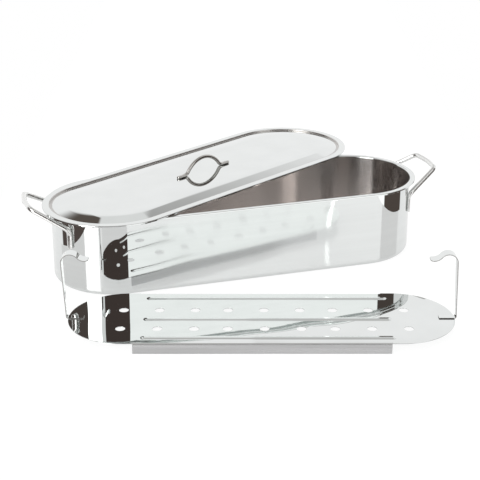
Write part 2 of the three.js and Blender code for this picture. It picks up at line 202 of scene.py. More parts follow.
class RackSizes(PropertyGroup):
    """Sizes and place of the rack plate."""

    sheet: length("Sheet", "Thickness of the rack's sheet", 0.001)
    height: length("Height", "Height of the plate's upper face", 0.016)
    flange_length: length("Flange length", "Length of the folded edges", 0.364)
    flange_bend: length("Flange bend", "Bend radius of the folded edges", 0.002)
    bead_length: length("Bead length", "Length of a pressed bead", 0.362)
    bead_width: length("Bead width", "Width of a pressed bead", 0.012)
    bead_height: length("Bead height", "Height of a pressed bead", 0.0012)
    bead_bend: length("Bead bend", "Bend radius along a bead's crown and foot", 0.0072)
    bead_spacing: length("Bead spacing", "From the plate's middle to an outer bead", 0.066)
    bead_shift: length("Bead shift", "How far the beads lie right of the plate's middle", 0.0091)
    hole: length("Hole", "Diameter of a drain hole", 0.014)
    row_offset: length("Row offset", "From the middle bead to a row of holes", 0.031)
    rows_forward: length("Rows forward", "How far the rows and their bead lie before the middle", 0.006)
    pitch: length("Pitch", "Distance between the holes of a group", 0.0528)
    group_gap: length("Group gap", "Distance between the nearest holes of two groups", 0.0482)
    groups: IntProperty(name="Groups", description="Groups of holes in a row", default=3)
    in_group: IntProperty(name="In a group", description="Holes in a group", default=3)
    hole_shift: length("Hole shift", "How far the holes lie right of the plate's middle", 0.0041)
    edge: length("Edge", "Rounding of the cut edges", 0.0002)
    turn: angle("Turn", "How far the rack lies turned from the pot", -17)


class HookSizes(PropertyGroup):
    """Sizes of the two rack hooks."""

    sheet: length("Sheet", "Thickness of the strip", 0.0012)
    foot_length: length("Foot length", "Length of the foot on the plate", 0.023)
    overhang: length("Overhang", "How far the leg stands past the plate's end", 0.002)
    foot_bend: length("Foot bend", "Bend radius between the foot and the leg", 0.0025)
    height: length("Height", "Height of the crest over the plate", 0.103)
    lean: length("Lean", "How far a leg leans to the rack's left end at its top", 0.0035)
    foot_width: length("Foot width", "Width of the strip at its foot", 0.01)
    grip_width: length("Grip width", "Width of the strip at its crest", 0.018)
    crest: length("Crest", "Radius of the crest", 0.013)
    crest_turn: angle("Crest turn", "How far the crest turns inwards", 140)
    tail: length("Tail", "Radius of the upturned tail", 0.015)
    tail_turn: angle("Tail turn", "How far the tail turns back up", 60)
    tail_end: length("Tail end", "Straight end of the tail", 0.002)
    tip: length("Tip", "Corner radius of the tip", 0.005)
    edge: length("Edge", "Rounding of the strip's edges", 0.0003)


class SteelLook(PropertyGroup):
    """Colours and finishes of the steel."""

    bright: colour("Bright", "Colour of the polished steel", (0.787, 0.804, 0.799))
    mirror: share("Mirror", "Roughness of the polished steel", 0.01)
    flat: share("Flat", "Roughness that the pot's flat walls have besides", 0.07)
    wave: length("Wave", "Depth of the unevenness of the pot's flat walls", 0.004)
    outside_brushing: share("Outside brushing", "How strongly the pot's outside is brushed", 0.9)
    # The brushed inside's colour is darker than the polished steel and warmed with a brown that paints the
    # reflection of the brown room
    inner: colour("Inside colour", "Colour of the pot's brushed inside", (0.765, 0.735, 0.718))
    inside: share("Inside roughness", "Roughness of the pot's brushed inside", 0.19)
    inside_brushing: share("Inside brushing", "How strongly the pot's inside is brushed", 0.95)
    rod: colour("Rod colour", "Colour of the pot's handles", (0.84, 0.84, 0.83))
    rod_roughness: share("Rod roughness", "Roughness of the pot's handles", 0.22)
    # Darker than the steel, which paints the shade along the lid's crease
    painted_crease_shade: colour("Crease", "Colour of the lid's channel and step", (0.6, 0.585, 0.57))
    step: share("Step", "Roughness of the lid's channel and step", 0.3)
    # Darkened and browned, which paints the dark reflections that the lid's handle shows
    grip: colour("Grip colour", "Colour of the lid's handle", (0.52, 0.505, 0.485))
    grip_roughness: share("Grip roughness", "Roughness of the lid's handle", 0.1)
    plate_wave: length("Plate wave", "Depth of the unevenness of the rack plate", 0.0015)
    dull: colour("Dull", "Colour of the rack's brushed flanges", (0.723, 0.726, 0.73))
    satin: share("Satin", "Roughness of the rack's brushed flanges", 0.3)
    flange_brushing: share("Flange brushing", "How strongly the rack's flanges are brushed", 0.85)
    cut: colour("Cut colour", "Colour of the hooks' sheared edges", (0.4, 0.39, 0.38))
    cut_roughness: share("Cut roughness", "Roughness of the hooks' sheared edges", 0.35)


class TableLook(PropertyGroup):
    """Finish of the table, to the steel that reflects it and to the camera."""

    pale: colour("Pale", "Colour of the table to the steel", (0.22, 0.22, 0.22))
    glow: share("Glow", "Strength of the table's glow to the steel", 0.6)
    roughness: share("Roughness", "Roughness of the table to the steel", 0.05)
    ior: number("IOR", "How strongly the table reflects", 1.75)
    seen_pale: colour("Seen pale", "Colour of the table to the camera, less its glow", (0.2, 0.2, 0.2))
    seen_glow: share("Seen glow", "Strength of the table's glow to the camera", 0.88)


class StudioSettings(PropertyGroup):
    """Camera and lights."""

    camera: FloatVectorProperty(
        name="Camera", description="Where the camera stands", subtype="TRANSLATION", unit="LENGTH",
        default=(-0.5432, -1.8013, 0.7923),
    )
    camera_pitch: angle("Camera pitch", "How far the camera looks down", 22.05)
    camera_yaw: angle("Camera yaw", "How far the camera is turned to the right", 17.02)
    lens: number("Lens", "Focal length on a 36 mm sensor", 92)
    softbox_power: number("Softbox power", "Power of the overhead softbox", 5, unit="POWER")
    softbox_width: length("Softbox width", "Width of the overhead softbox", 1.6)
    softbox_depth: length("Softbox depth", "Depth of the overhead softbox", 1.2)
    softbox_height: length("Softbox height", "Height of the overhead softbox", 1.6)
    ambient: number("Ambient", "Strength of the room's light", 1)


class PoacherSettings(PropertyGroup):
    """Everything that can be set on the fish poacher."""

    seat_gap: length("Seat gap", "Room between pieces that touch", 0.0003)
    pot: PointerProperty(type=PotSizes)
    handle: PointerProperty(type=HandleSizes)
    lid: PointerProperty(type=LidSizes)
    grip: PointerProperty(type=GripSizes)
    rack: PointerProperty(type=RackSizes)
    hook: PointerProperty(type=HookSizes)
    steel: PointerProperty(type=SteelLook)
    table: PointerProperty(type=TableLook)
    studio: PointerProperty(type=StudioSettings)


# Shapes


def section_line(bm, corners, place):
    """Draws a section's middle line from corners (across, up, bend radius) and rounds its bends."""
    drawn = [(bm.verts.new(place(across, up)), radius) for across, up, radius in corners]
    for (first, _), (second, _) in zip(drawn, drawn[1:]):
        bm.edges.new((first, second))
    for i, (vert, radius) in enumerate(drawn):
        if radius:
            here = Vector(corners[i][:2])
            back = Vector(corners[i - 1][:2]) - here
            ahead = Vector(corners[i + 1][:2]) - here
            bmesh.ops.bevel(
                bm, geom=[vert], offset=radius / math.tan(back.angle(ahead) / 2), offset_type="OFFSET",
                affect="VERTICES", segments=BEND_SEGMENTS, profile=0.5, material=-1,
            )


def drag(bm, edges, matrix):
    """Extrudes edges, moves the new ones by matrix and returns them."""
    made = bmesh.ops.extrude_edge_only(bm, edges=edges)["geom"]
    verts = [part for part in made if isinstance(part, bmesh.types.BMVert)]
    bmesh.ops.transform(bm, matrix=matrix, verts=verts)
    moved = set(verts)
    return [
        part for part in made
        if isinstance(part, bmesh.types.BMEdge) and all(vert in moved for vert in part.verts)
    ]


def open_edges(bm, axis, level):
    """The boundary edges that lie at a level along an axis."""
    place = "XYZ".index(axis)
    return [
        edge for edge in bm.edges
        if edge.is_boundary and all(abs(vert.co[place] - level) < MERGE for vert in edge.verts)
    ]


def oval_sheet(corners, straight, steps):
    """A section carried round a long oval that has half-round ends and straight sides."""
    bm = bmesh.new()
    section_line(bm, corners, lambda across, up: (straight, -across, up))
    bmesh.ops.spin(
        bm, geom=bm.verts[:] + bm.edges[:], cent=(straight, 0, 0), axis=(0, 0, 1), angle=math.pi,
        steps=steps,
    )
    bmesh.ops.remove_doubles(bm, verts=bm.verts, dist=MERGE)
    drag(bm, open_edges(bm, "X", straight), Matrix.Translation((-straight, 0, 0)))
    mirrored(bm, "X")
    bmesh.ops.recalc_face_normals(bm, faces=bm.faces)
    return bm


def mirrored(bm, axis):
    """Adds the mirror image of everything and joins it at the middle."""
    place = "XYZ".index(axis)
    for vert in bm.verts:
        if abs(vert.co[place]) < MERGE:
            vert.co[place] = 0
    bmesh.ops.mirror(bm, geom=bm.verts[:] + bm.edges[:] + bm.faces[:], axis=axis, merge_dist=MERGE)


def bent_line(corners, step):
    """Points along a line of corners (point, radius), with an arc of that radius at each corner."""
    points = []
    for i, (corner, radius) in enumerate(corners):
        if not radius:
            points.append(corner.copy())
            continue
        back = (corners[i - 1][0] - corner).normalized()
        ahead = (corners[i + 1][0] - corner).normalized()
        half = back.angle(ahead) / 2
        centre = corner + (back + ahead).normalized() * radius / math.sin(half)
        first = corner + back * radius / math.tan(half) - centre
        last = corner + ahead * radius / math.tan(half) - centre
        turn = math.pi - 2 * half
        steps = math.ceil(turn / step)
        for k in range(steps + 1):
            points.append(centre + Matrix.Rotation(turn * k / steps, 3, first.cross(last)) @ first)
    return points


def smooth(value):
    """Runs from 0 to 1 with level ends."""
    value = min(max(value, 0), 1)
    return value * value * (3 - 2 * value)


def rounding(radius, steps):
    """How far from its tip the rows of a round end lie."""
    return [radius * (1 - math.cos(math.pi / 2 * k / steps)) for k in range(steps + 1)]


def marked_line(line, marks, room=0):
    """The points of a line and those that lie marks along it, each with its distance. A mark that lies
    within room of a point is left out."""
    stops = []
    start = 0
    for first, second in zip(line, line[1:]):
        run = (second - first).length
        inside = [mark for mark in sorted(marks) if start + room < mark < start + run - room]
        stops += [(first.lerp(second, (mark - start) / run), mark) for mark in [start, *inside]]
        start += run
    return [*stops, (line[-1], start)]


def bar_rings(line, across, foot, rod, mirror):
    """Section frames along half a bar, from the round end of its foot to the mirror plane. foot holds the
    foot's width and thickness, the length that it stays flat, and the length over which it gets round.
    mirror is the scale that carries a point over to the other half."""
    width, thickness, flat, taper = foot
    marks = rounding(width / 2, FOOT_END_STEPS)
    marks += [flat + taper * k / FOOT_TAPER_STEPS for k in range(FOOT_TAPER_STEPS + 1)]
    stops = marked_line(line, marks)
    rings = []
    for i, (centre, mark) in enumerate(stops):
        before = stops[max(i - 1, 0)][0]
        after = stops[i + 1][0] if i + 1 < len(stops) else before * mirror
        ahead = (after - before).normalized()
        across = (across - ahead * ahead.dot(across)).normalized()
        through = ahead.cross(across)
        round_share = smooth((mark - flat) / taper)
        short = max(0, 1 - 2 * mark / width)
        end = max(math.sqrt(1 - short * short), FOOT_END)
        wide = (width + (rod - width) * round_share) / 2 * end
        thick = (thickness + (rod - thickness) * round_share) / 2
        # How long the third axis is doesn't matter, because the section is flat
        ring = Matrix((across * wide, through * thick, ahead * rod)).transposed().to_4x4()
        ring.translation = centre
        rings.append(ring)
    return rings


def bar_mesh(rings, axis):
    """Sweeps a round section along the rings and mirrors it into the whole bar."""
    bm = bmesh.new()
    bmesh.ops.create_circle(bm, cap_ends=True, segments=ROD_SIDES, radius=1, matrix=rings[0])
    edges = bm.edges[:]
    for before, after in zip(rings, rings[1:]):
        edges = drag(bm, edges, after @ before.inverted())
    mirrored(bm, axis)
    bmesh.ops.recalc_face_normals(bm, faces=bm.faces)
    return bm


def strip_mesh(line, widths):
    """A strip along a line in the XZ plane, made one unit wide and scaled to its width at each point."""
    bm = bmesh.new()
    verts = [bm.verts.new(point) for point in line]
    edges = [bm.edges.new(pair) for pair in zip(verts, verts[1:])]
    drag(bm, edges, Matrix.Translation((0, 1, 0)))
    bmesh.ops.translate(bm, verts=bm.verts, vec=(0, -0.5, 0))
    for point, width in zip(line, widths):
        row = [vert for vert in bm.verts if (vert.co.xz - point.xz).length < MERGE]
        bmesh.ops.scale(bm, verts=row, vec=(1, width, 1))
    bmesh.ops.recalc_face_normals(bm, faces=bm.faces)
    return bm


# Finishes


class Marks(NamedTuple):
    """A noise in the finish: its fineness, how each axis is scaled under it, its detail, and how much
    darker the steel is where it is low."""

    scale: float
    stretch: tuple
    detail: float
    darker: float = 0


POLISH_MARKS = Marks(24, (1, 1, 1), 5, 0.03)
BRUSH_MARKS = Marks(160, (0.02, 0.02, 1), 4, 0.07)
SHEET_WAVES = Marks(6, (1, 1, 1), 1)


def feed(node, inputs):
    """Sets a node's inputs, by their names or numbers, or links them to the sockets given for them."""
    for key, value in inputs.items():
        if isinstance(value, NodeSocket):
            node.id_data.links.new(value, node.inputs[key])
        else:
            node.inputs[key].default_value = value
    return node


def add_node(tree, kind, inputs, **options):
    """Adds a node with its options and its inputs."""
    node = tree.nodes.new(f"ShaderNode{kind}")
    for option, choice in options.items():
        setattr(node, option, choice)
    return feed(node, inputs)


def math_node(tree, operation, *values):
    """One Math node, fed with sockets or numbers."""
    return add_node(tree, "Math", dict(enumerate(values)), operation=operation).outputs["Value"]


def vector_node(tree, operation, *values):
    """One Vector Math node, fed with sockets or vectors."""
    return add_node(tree, "VectorMath", dict(enumerate(values)), operation=operation).outputs["Vector"]


def range_node(tree, value, source, target, interpolation="LINEAR"):
    """Carries a value over from one range to another, and holds it at their ends."""
    names = ("Value", "From Min", "From Max", "To Min", "To Max")
    inputs = dict(zip(names, (value, *source, *target)))
    return add_node(tree, "MapRange", inputs, interpolation_type=interpolation).outputs["Result"]


def mix_node(tree, factor, first, second, label=""):
    """Mixes two colours."""
    inputs = {"Factor": factor, "A": first, "B": second}
    return add_node(tree, "Mix", inputs, data_type="RGBA", label=label).outputs["Result"]


def noise_node(tree, place, marks):
    """A noise at the given coordinates."""
    along = add_node(tree, "Mapping", {"Vector": place, "Scale": marks.stretch}).outputs["Vector"]
    inputs = {"Vector": along, "Scale": marks.scale, "Detail": marks.detail}
    return add_node(tree, "TexNoise", inputs).outputs["Fac"]


def flat_share(tree, place, flat):
    """1 along a flat wall that reaches as far as flat from the middle, and 0 at its round ends."""
    apart = add_node(tree, "SeparateXYZ", {"Vector": place})
    inward = math_node(tree, "SUBTRACT", flat, math_node(tree, "ABSOLUTE", apart.outputs["X"]))
    faded = math_node(tree, "DIVIDE", inward, FLAT_FADE)
    return math_node(tree, "MINIMUM", math_node(tree, "MAXIMUM", faded, 0), 1)


def level_way(tree):
    """The level direction along the surface."""
    normal = add_node(tree, "NewGeometry", {}).outputs["Normal"]
    level = vector_node(tree, "CROSS_PRODUCT", normal, (0, 0, 1))
    return vector_node(tree, "NORMALIZE", vector_node(tree, "ADD", level, LEVEL_NUDGE))


def steel_material(name, tint, roughness, wave=0, brushed=0, turn=0, flat=0, softer=0, grain=1):
    """Polished steel, or steel with level brush marks, brushed as strongly as brushed says. wave is the
    depth of the sheet's unevenness, flat how far from the middle a wall stays flat, and softer the
    roughness it has besides there. turn is how far the piece lies turned, and grain how strongly its
    finish varies."""
    material = bpy.data.materials.new(name)
    material.use_nodes = True
    tree = material.node_tree
    shader = tree.nodes["Principled BSDF"]
    place = add_node(tree, "TexCoord", {}).outputs["Object"]
    place = add_node(tree, "Mapping", {"Vector": place, "Rotation": (0, 0, -turn)}).outputs["Vector"]

    marks = BRUSH_MARKS if brushed else POLISH_MARKS
    finish = noise_node(tree, place, marks)
    dark = 1 - grain * marks.darker
    shown = range_node(tree, finish, NOISE_RANGE, (0, 1))
    shade = mix_node(tree, shown, (*(part * dark for part in tint), 1), (*tint, 1))
    vary = GLOSS_VARIATION * grain
    gloss = range_node(tree, finish, NOISE_RANGE, (roughness * (1 + vary), roughness * (1 - vary)))
    if flat:
        uneven = flat_share(tree, place, flat)
        gloss = math_node(tree, "MULTIPLY_ADD", uneven, softer, gloss)
    feed(shader, {"Metallic": 1, "Base Color": shade, "Roughness": gloss})
    if brushed:
        feed(shader, {
            "Anisotropic": brushed,
            "Anisotropic Rotation": BRUSH_TURN,
            "Tangent": level_way(tree),
        })
    if wave:
        height = noise_node(tree, place, SHEET_WAVES)
        if flat:
            height = math_node(tree, "MULTIPLY", math_node(tree, "SUBTRACT", height, 0.5), uneven)
        sheet = add_node(tree, "Bump", {"Strength": 1, "Distance": wave, "Height": height})
        feed(shader, {"Normal": sheet.outputs["Normal"]})
    return material


# Pieces


def made_mesh(name, bm):
    """The mesh of what bm holds, which is freed."""
    mesh = bpy.data.meshes.new(name)
    bm.to_mesh(mesh)
    bm.free()
    return mesh


def add_object(name, data):
    """Puts a new object into the scene."""
    made = bpy.data.objects.new(name, data)
    bpy.context.scene.collection.objects.link(made)
    return made


def add_piece(name, bm, body, materials, sheet=0, cut_edge=0, matrix=None, under=0, rim=0):
    """Makes the finished piece, which stands for the node of the same name. under and rim are how far
    down the list of materials the finishes of a sheet's under or outer face and of its edge lie."""
    if matrix is not None:
        bmesh.ops.transform(bm, matrix=matrix, verts=bm.verts)
    for face in bm.faces:
        face.smooth = True
    piece = add_object(f"{name}_steel", made_mesh(name, bm))
    for material in materials:
        piece.data.materials.append(material)
    if sheet:
        wall = piece.modifiers.new("Sheet", "SOLIDIFY")
        wall.thickness = sheet
        wall.offset = 0
        wall.use_even_offset = True
        wall.material_offset = under
        wall.material_offset_rim = rim
    if cut_edge:
        edge = piece.modifiers.new("Cut edge", "BEVEL")
        edge.limit_method = "ANGLE"
        edge.angle_limit = EDGE_ANGLE
        edge.width = cut_edge
        edge.segments = EDGE_SEGMENTS
    piece.modifiers.new("Level faces", "WEIGHTED_NORMAL")
    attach(piece, body)
    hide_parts(name)


def give_finish(bm, index, chosen):
    """Gives the faces whose middles are chosen the finish at that index."""
    for face in bm.faces:
        if chosen(face.calc_center_median()):
            face.material_index = index


def settings():
    """The settings that the pieces are made from."""
    return bpy.context.scene.fish_poacher


def turned_place(low, high, height, turn):
    """The middle of a box seen from above, at a height, turned."""
    centre = (low + high) / 2
    return Matrix.Translation((centre.x, centre.y, height)) @ Matrix.Rotation(turn, 4, "Z")


def lid_place():
    """Where the lid lies, turned across the pot's rim."""
    return turned_place(LID_LOW, LID_HIGH, LID_LOW.z, settings().lid.turn)


def rack_place():
    """Where the rack stands, turned in front of the pot."""
    return turned_place(RACK_LOW, RACK_HIGH, 0, settings().rack.turn)


def lid_panel_top():
    """Height of the lid's panel over the edge of its lip."""
    return settings().lid.lip_depth + settings().lid.panel_rise


def rack_radius():
    """Half the width of the rack, worked out from its turned box."""
    turn = abs(settings().rack.turn)
    wide, deep = (RACK_HIGH - RACK_LOW).xy / 2
    return (deep * math.cos(turn) - wide * math.sin(turn)) / (math.cos(turn) - math.sin(turn))


def rack_straight():
    """From the rack's middle to the middle of a round end."""
    wide = (RACK_HIGH.x - RACK_LOW.x) / 2
    return (wide - rack_radius()) / math.cos(settings().rack.turn)


class FISH_OT_pot(Operator):
    """Makes the pot shell: flat bottom, rounded foot, upright wall, flat rim with a turned-down lip"""

    bl_idname = "fish_poacher.make_pot"
    bl_label = "Make Pot"

    def execute(self, context):
        sizes, steel = settings().pot, settings().steel
        half = sizes.sheet / 2
        wall = RIM_RADIUS - sizes.rim_width - half
        edge = RIM_RADIUS - half
        top = POT_HEIGHT - half
        bm = oval_sheet([
            (0, half, 0),
            (wall, half, sizes.foot_radius - half),
            (wall, top, sizes.rim_bend),
            (edge, top, sizes.lip_bend),
            (edge, POT_HEIGHT - sizes.lip_depth, 0),
        ], POT_STRAIGHT, END_STEPS)
        # The rim is polished above and below
        give_finish(bm, 2, lambda middle: middle.z > top - sizes.rim_bend)
        outside = steel_material("pot outside", steel.bright, steel.mirror, steel.wave,
                                 steel.outside_brushing, flat=POT_STRAIGHT, softer=steel.flat,
                                 grain=POT_GRAIN)
        # The inside's colour carries a painted brown reflection of the room
        inside = steel_material("pot inside", steel.inner, steel.inside, brushed=steel.inside_brushing,
                                grain=POT_GRAIN)
        rim = steel_material("pot rim", steel.bright, steel.mirror)
        finishes = [inside, outside, rim]
        add_piece("pot_shell", bm, "pot", finishes, sizes.sheet, sizes.edge, under=1)
        return {"FINISHED"}


class FISH_OT_pot_handles(Operator):
    """Makes the two pot handles: bent rods with flattened feet on the end walls"""

    bl_idname = "fish_poacher.make_pot_handles"
    bl_label = "Make Pot Handles"

    def execute(self, context):
        sizes, steel = settings().handle, settings().steel
        rod_steel = steel_material("pot rod", steel.rod, steel.rod_roughness)
        foot = (sizes.foot_width, sizes.foot_thickness, sizes.foot_flat, sizes.foot_taper)
        for side, end in (("left", -1), ("right", 1)):
            outward = Vector((end * math.cos(sizes.foot_angle), math.sin(sizes.foot_angle), 0))
            across = Vector((-outward.y, outward.x, 0))
            line = self.half_line(sizes, end, outward)
            bm = bar_mesh(bar_rings(line, across, foot, sizes.rod, Vector((1, -1, 1))), "Y")
            add_piece(f"pot_handle_{side}", bm, "pot", [rod_steel], cut_edge=sizes.edge)
        return {"FINISHED"}

    @staticmethod
    def half_line(sizes, end, outward):
        """The line of half a handle: up the wall from a foot, out past the rim, to the bar's middle."""
        middle = Vector((end * POT_STRAIGHT, 0, 0))
        wall = RIM_RADIUS - settings().pot.rim_width + settings().seat_gap

        def on_wall(below_rim, thickness):
            return middle + outward * (wall + thickness / 2) + Vector((0, 0, POT_HEIGHT - below_rim))

        reach = POT_STRAIGHT + RIM_RADIUS + sizes.reach
        height = POT_HEIGHT + sizes.above_rim
        return bent_line([
            (on_wall(sizes.foot_below_rim, sizes.foot_thickness), 0),
            (on_wall(sizes.foot_below_rim - sizes.foot_flat, sizes.foot_thickness), 0),
            (on_wall(sizes.bend_below_rim, sizes.rod), sizes.bend),
            (Vector((end * reach, sizes.span / 2, height)), sizes.corner),
            (Vector((end * (reach + sizes.bow), 0, height)), 0),
        ], ROD_BEND_STEP)


class FISH_OT_lid(Operator):
    """Makes the lid shell: lip, flat flange, seating channel, slope and flat panel"""

    bl_idname = "fish_poacher.make_lid"
    bl_label = "Make Lid"

    def execute(self, context):
        sizes, pot, steel = settings().lid, settings().pot, settings().steel
        half = sizes.sheet / 2
        edge = RIM_RADIUS + sizes.clearance + half
        step = RIM_RADIUS - pot.rim_width - pot.sheet - sizes.seat_clearance - half
        slope_foot = step - sizes.channel_width
        panel = lid_panel_top() - half
        bm = oval_sheet([
            (0, panel, 0),
            (slope_foot - sizes.slope_width, panel, sizes.shoulder),
            (slope_foot, half, sizes.channel_bend),
            (step, half, sizes.channel_bend),
            (step, sizes.lip_depth - half, sizes.channel_bend),
            (edge, sizes.lip_depth - half, sizes.lip_bend),
            (edge, 0, 0),
        ], POT_STRAIGHT, END_STEPS)
        # The channel and the step with both its bends are rougher, and darker in colour, which paints the
        # shade along the lid's crease
        near, far = slope_foot + sizes.channel_bend, step + 2 * sizes.channel_bend
        give_finish(bm, 1, lambda middle: near < self.from_axis(middle) < far)
        outside = steel_material("lid outside", steel.bright, steel.mirror, turn=sizes.turn)
        rough_step_with_painted_shade = steel_material("lid step", steel.painted_crease_shade, steel.step, turn=sizes.turn)
        finishes = [outside, rough_step_with_painted_shade]
        add_piece("lid_shell", bm, "lid", finishes, sizes.sheet, sizes.edge, lid_place())
        return {"FINISHED"}

    @staticmethod
    def from_axis(point):
        """How far a point lies from the line between the middles of the round ends, seen from above."""
        return math.hypot(max(0, abs(point.x) - POT_STRAIGHT), point.y)


class FISH_OT_lid_handle(Operator):
    """Makes the lid's handle: an arched rod with flattened feet on the panel"""

    bl_idname = "fish_poacher.make_lid_handle"
    bl_label = "Make Lid Handle"

    def execute(self, context):
        sizes, steel = settings().grip, settings().steel
        seat = lid_panel_top() + settings().seat_gap
        foot_height = seat + sizes.foot_thickness / 2
        bend_height = seat + sizes.rod / 2
        crown = lid_panel_top() + sizes.height - sizes.rod / 2
        shoulder = sizes.span / 2 - (crown - bend_height) / math.tan(sizes.slope)
        line = bent_line([
            (Vector((-sizes.over_feet / 2, 0, foot_height)), 0),
            (Vector((-sizes.span / 2 - sizes.foot_taper, 0, foot_height)), 0),
            (Vector((-sizes.span / 2, 0, bend_height)), sizes.bend),
            (Vector((-shoulder, 0, crown)), shoulder / math.tan(sizes.slope / 2)),
            (Vector((0, 0, crown)), 0),
        ], ROD_BEND_STEP)[:-1]
        flat = (sizes.over_feet - sizes.span) / 2 - sizes.foot_taper
        foot = (sizes.foot_width, sizes.foot_thickness, flat, sizes.foot_taper)
        bm = bar_mesh(bar_rings(line, Vector((0, 1, 0)), foot, sizes.rod, Vector((-1, 1, 1))), "X")
        # The handle's darker colour paints its dark reflections
        rod_steel = steel_material("lid rod", steel.grip, steel.grip_roughness)
        add_piece("lid_handle", bm, "lid", [rod_steel], 0, sizes.edge, lid_place())
        return {"FINISHED"}


def add_bead(bm, y):
    """Adds one pressed bead, open at its foot, where it meets the flat sheet."""
    sizes = settings().rack
    level = sizes.height - sizes.sheet / 2
    foot = sizes.bead_width / 2
    bead = oval_sheet([
        (0, level + sizes.bead_height, 0),
        (foot * BEAD_CROWN, level + sizes.bead_height, sizes.bead_bend),
        (foot * BEAD_FOOT, level, sizes.bead_bend),
        (foot, level, 0),
    ], sizes.bead_length / 2 - foot, BEAD_END_STEPS)
    bmesh.ops.translate(bead, verts=bead.verts, vec=(sizes.bead_shift, y, 0))
    mesh = made_mesh("bead", bead)
    bm.from_mesh(mesh)
    bpy.data.meshes.remove(mesh)


def hole_places():
    """The middles of the drain holes: two rows, each in groups."""
    sizes = settings().rack
    group_pitch = (sizes.in_group - 1) * sizes.pitch + sizes.group_gap
    for group in range(sizes.groups):
        middle = (group - (sizes.groups - 1) / 2) * group_pitch
        for hole in range(sizes.in_group):
            x = sizes.hole_shift + middle + (hole - (sizes.in_group - 1) / 2) * sizes.pitch
            yield x, sizes.row_offset - sizes.rows_forward
            yield x, -sizes.row_offset - sizes.rows_forward


def add_outline(bm, sizes, level, fold):
    """Draws the plate's edge: round ends, and straight sides set in to where the flanges fold down."""
    radius, straight = rack_radius(), rack_straight()
    before = set(bm.verts)
    start = bm.verts.new((straight, -radius, level))
    bmesh.ops.spin(
        bm, geom=[start], cent=(straight, 0, 0), axis=(0, 0, 1), angle=math.pi, steps=END_STEPS
    )
    arc = [vert for vert in bm.verts if vert not in before]
    for side in (1, -1):
        line = [
            max(arc, key=lambda vert: vert.co.y * side),
            bm.verts.new((sizes.flange_length / 2, side * radius, level)),
            bm.verts.new((sizes.flange_length / 2, side * fold, level)),
            bm.verts.new((0, side * fold, level)),
        ]
        for pair in zip(line, line[1:]):
            bm.edges.new(pair)
    half = [vert for vert in bm.verts if vert not in before]
    half += [edge for edge in bm.edges if edge.verts[0] not in before]
    bmesh.ops.mirror(bm, geom=half, axis="X", merge_dist=MERGE)


def fold_flange(bm, sizes, level, across):
    """Folds the flange down from the straight edge at across."""
    edges = open_edges(bm, "Y", across)
    verts = list(dict.fromkeys(vert for edge in edges for vert in edge.verts))
    drop = level - sizes.flange_bend
    folded = bmesh.ops.spin(
        bm, geom=verts + edges, cent=(0, across, drop), axis=(1, 0, 0),
        angle=math.copysign(math.pi / 2, -across), steps=BEND_SEGMENTS,
    )
    lower = [part for part in folded["geom_last"] if isinstance(part, bmesh.types.BMEdge)]
    drag(bm, lower, Matrix.Translation((0, 0, -drop)))


class FISH_OT_rack(Operator):
    """Makes the rack plate: drain holes, pressed beads and a folded flange along each side"""

    bl_idname = "fish_poacher.make_rack"
    bl_label = "Make Rack"

    def execute(self, context):
        sizes, steel = settings().rack, settings().steel
        level = sizes.height - sizes.sheet / 2
        fold = rack_radius() - sizes.sheet / 2 - sizes.flange_bend
        bm = bmesh.new()
        for y in (-sizes.bead_spacing, -sizes.rows_forward, sizes.bead_spacing):
            add_bead(bm, y)
        for x, y in hole_places():
            centre = Matrix.Translation((x, y, level))
            bmesh.ops.create_circle(bm, segments=HOLE_SIDES, radius=sizes.hole / 2, matrix=centre)
        add_outline(bm, sizes, level, fold)
        loops = [edge for edge in bm.edges if edge.is_wire or edge.is_boundary]
        bmesh.ops.triangle_fill(bm, use_beauty=True, use_dissolve=False, edges=loops, normal=(0, 0, 1))
        for side in (1, -1):
            fold_flange(bm, sizes, level, side * fold)
        bmesh.ops.remove_doubles(bm, verts=bm.verts, dist=MERGE)
        bmesh.ops.recalc_face_normals(bm, faces=bm.faces)
        # The flanges and the lower part of their bends are brushed
        give_finish(bm, 1, lambda middle: middle.z < level - sizes.flange_bend / 2)
        plate = steel_material("rack sheet", steel.bright, steel.mirror, steel.plate_wave, turn=sizes.turn)
        folded = steel_material("rack flange", steel.dull, steel.satin, brushed=steel.flange_brushing,
                                turn=sizes.turn)
        finishes = [plate, folded]
        add_piece("rack_plate", bm, "rack", finishes, sizes.sheet, sizes.edge, rack_place())
        return {"FINISHED"}


